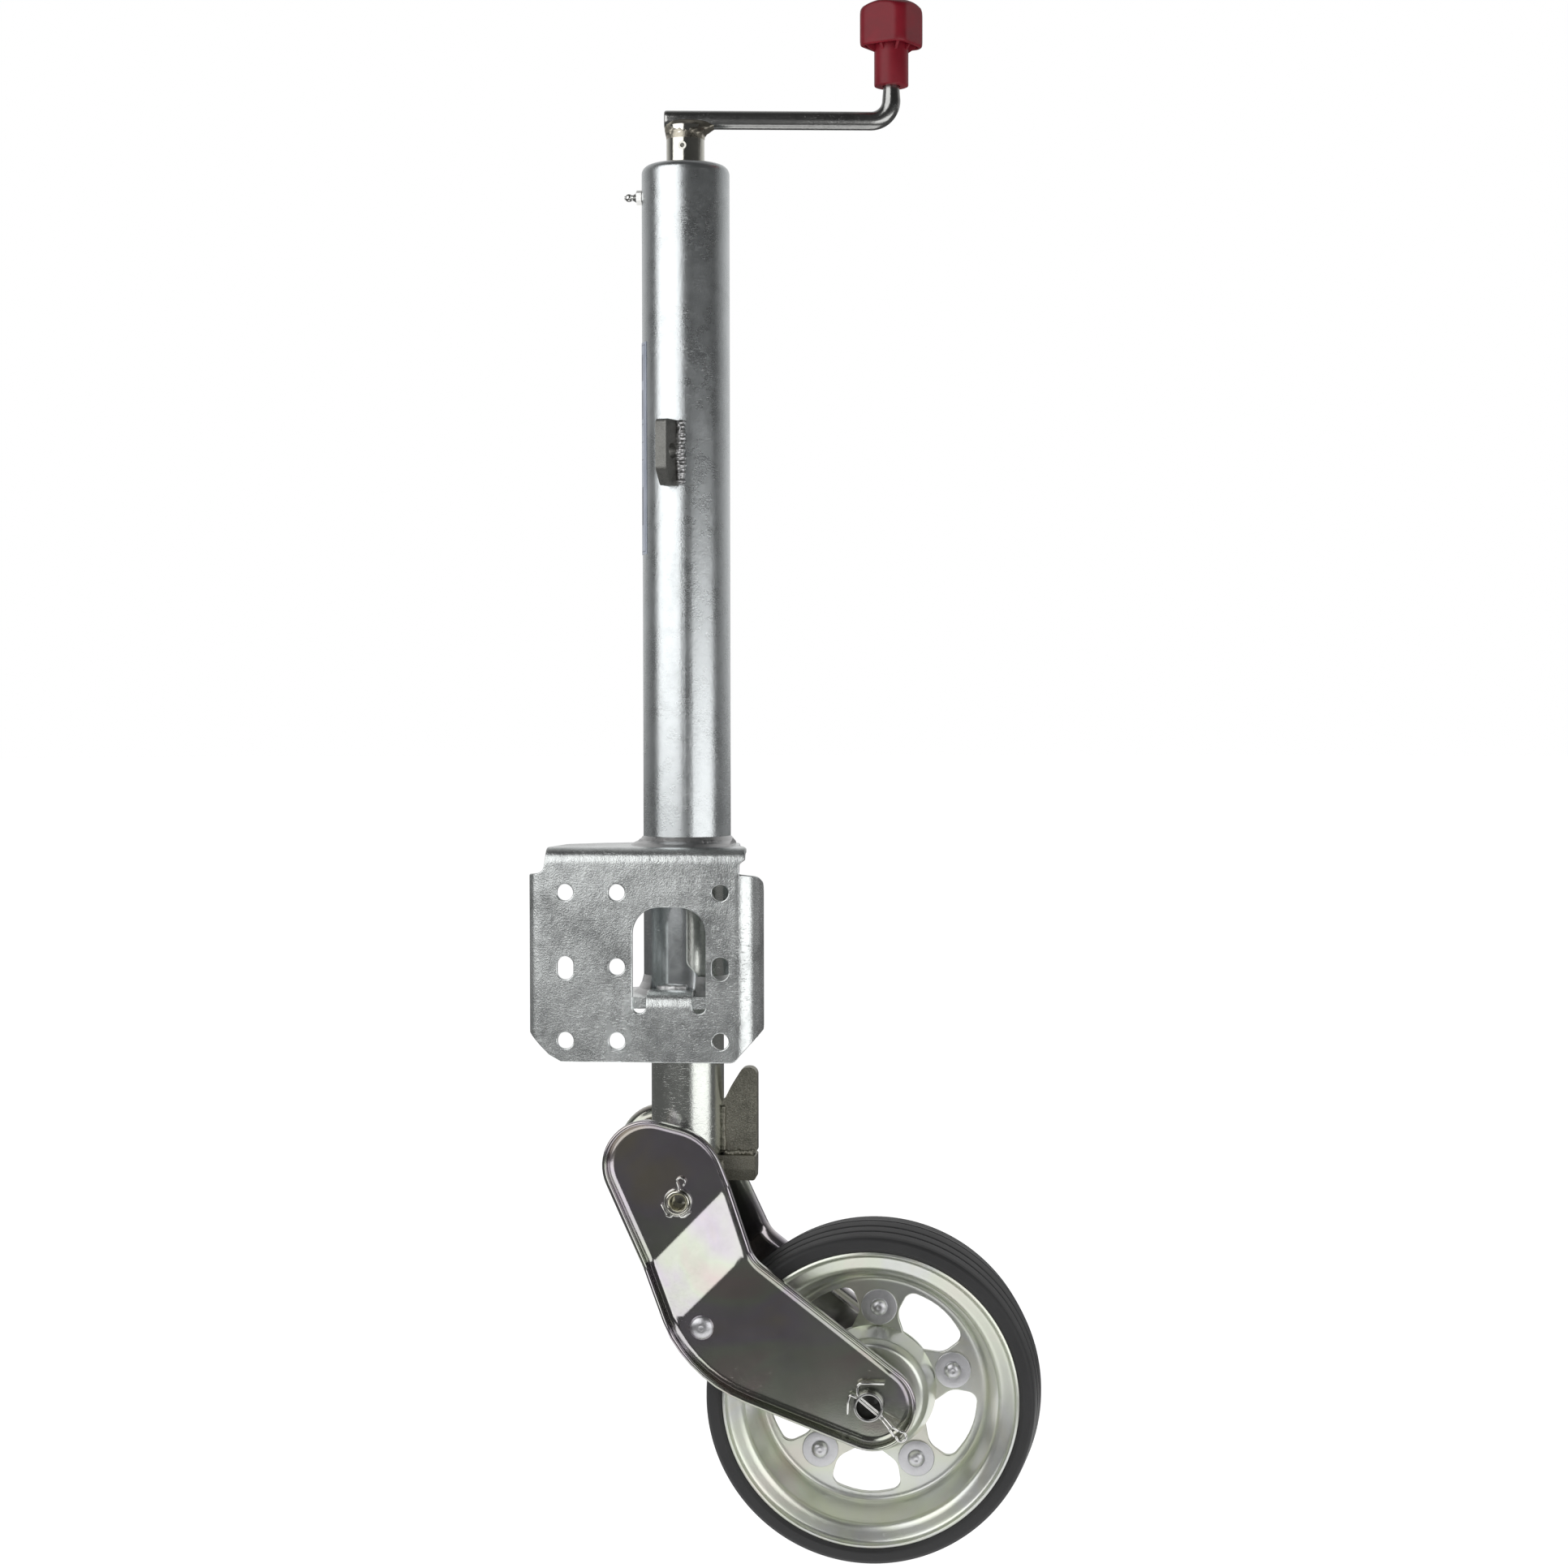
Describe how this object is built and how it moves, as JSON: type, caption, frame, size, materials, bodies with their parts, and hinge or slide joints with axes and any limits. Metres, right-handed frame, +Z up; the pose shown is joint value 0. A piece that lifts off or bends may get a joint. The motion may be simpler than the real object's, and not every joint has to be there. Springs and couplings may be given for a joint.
{
  "type": "trailer tongue jack",
  "caption": "Screw jack for a trailer tongue: fixed tube with a bolt-on plate, hand crank, sliding and swivelling leg, folding fork and a riveted steel wheel with solid tyre.",
  "frame": {"origin": "middle of the mounting plate's four corner holes, on the plate's front face", "axes": "+Z up along the tube to the crank, -Y out of the plate's mounting face, +X towards the side the wheel trails and folds to"},
  "size_m": [0.3451, 0.1242, 1.0634],
  "materials": {
    "galv_tube": "hot-dip galvanised, faint spangle and draw marks",
    "galv_plate": "hot-dip galvanised, blotchy, worn corners",
    "galv_weld": "galvanised weld bead",
    "zinc_tube": "bright zinc plate, fine diagonal scratches",
    "zinc_raw": "olive zinc over rough cut steel",
    "fork_zinc": "passivated zinc, dark and mirror-like with pink and yellow tints",
    "rim_zinc": "greenish passivated zinc",
    "rivet_zinc": "matt lilac-grey zinc",
    "crank_steel": "dark zinc-plated round bar",
    "socket_zinc": "bright yellowish zinc",
    "crank_weld": "zinc-plated weld, brown tint",
    "pin_steel": "zinc-plated pin",
    "wire_steel": "bright spring wire",
    "bearing_steel": "ground bearing steel",
    "screw_steel": "greased rolled screw",
    "nut_bronze": "bronze",
    "knob_red": "dark red moulded plastic",
    "bush_black": "black nylon",
    "tyre_rubber": "solid rubber, dull",
    "label_film": "grey-blue film with plain boxes"
  },
  "bodies": {
    "frame": {"outer_tube": "galv_tube", "bearing_cap": "bearing_steel", "race_upper": "bearing_steel", "thrust_balls": "bearing_steel", "mounting_plate": "galv_plate", "lower_gusset": "galv_plate", "bracket_welds": "galv_weld", "safety_lug": "galv_plate", "lug_weld": "galv_weld", "grease_nipple": "wire_steel", "rating_label": "label_film"},
    "crank": {"crank_arm": "crank_steel", "crank_socket": "socket_zinc", "crank_weld": "crank_weld", "socket_pin": "pin_steel", "screw_spindle": "screw_steel", "spindle_collar": "bearing_steel", "race_lower": "bearing_steel", "spindle_stop": "screw_steel", "stop_cotter": "pin_steel"},
    "knob": {"grip_knob": "knob_red"},
    "carrier": {"lift_nut": "nut_bronze", "nut_washer": "bearing_steel"},
    "leg": {"inner_tube": "zinc_tube", "snap_ring": "pin_steel", "guide_fin": "zinc_raw", "stop_block": "zinc_raw", "fin_weld": "zinc_raw", "pivot_bush": "pin_steel", "stop_foot": "zinc_raw"},
    "fork": {"fork_plate_front": "fork_zinc", "fork_plate_rear": "fork_zinc", "pivot_pin": "pin_steel", "pivot_clips": "wire_steel", "stop_pin": "pin_steel", "axle_tube": "crank_steel", "axle_cotters": "wire_steel", "axle_washers": "pin_steel"},
    "wheel": {"tyre": "tyre_rubber", "rim_front": "rim_zinc", "rim_rear": "rim_zinc", "rim_rivets": "rivet_zinc", "rivet_washers": "rivet_zinc", "hub_tube": "rim_zinc", "hub_bushes": "bush_black", "hub_cup_front": "rim_zinc", "hub_cup_rear": "rim_zinc"}
  },
  "joints": [
    {"name": "crank_turn", "type": "hinge", "parent": "frame", "child": "crank", "pos_m": [0.0245, 0.049, 0.5425], "axis": [0, 0, -1], "range_deg": [-2880, 14400]},
    {"name": "leg_extend", "type": "slide", "parent": "frame", "child": "carrier", "axis": [0, 0, -1], "range_m": [-0.0401, 0.2001]},
    {"name": "leg_swivel", "type": "hinge", "parent": "carrier", "child": "leg", "pos_m": [0.0245, 0.049, 0.0925], "axis": [0, 0, 1], "continuous": true},
    {"name": "fork_fold", "type": "hinge", "parent": "leg", "child": "fork", "pos_m": [0.0215, 0.049, -0.1612], "axis": [0, -1, 0], "range_deg": [0, 60]},
    {"name": "wheel_spin", "type": "hinge", "parent": "fork", "child": "wheel", "pos_m": [0.1523, 0.049, -0.2925], "axis": [0, 1, 0], "continuous": true},
    {"name": "knob_spin", "type": "hinge", "parent": "crank", "child": "knob", "pos_m": [0.16415, 0.06615, 0.6225], "axis": [0, 0, 1], "continuous": true}
  ],
  "couplings": [
    {"joint": "leg_extend", "follows": "crank_turn", "m_per_rad": 0.00079577}
  ]
}
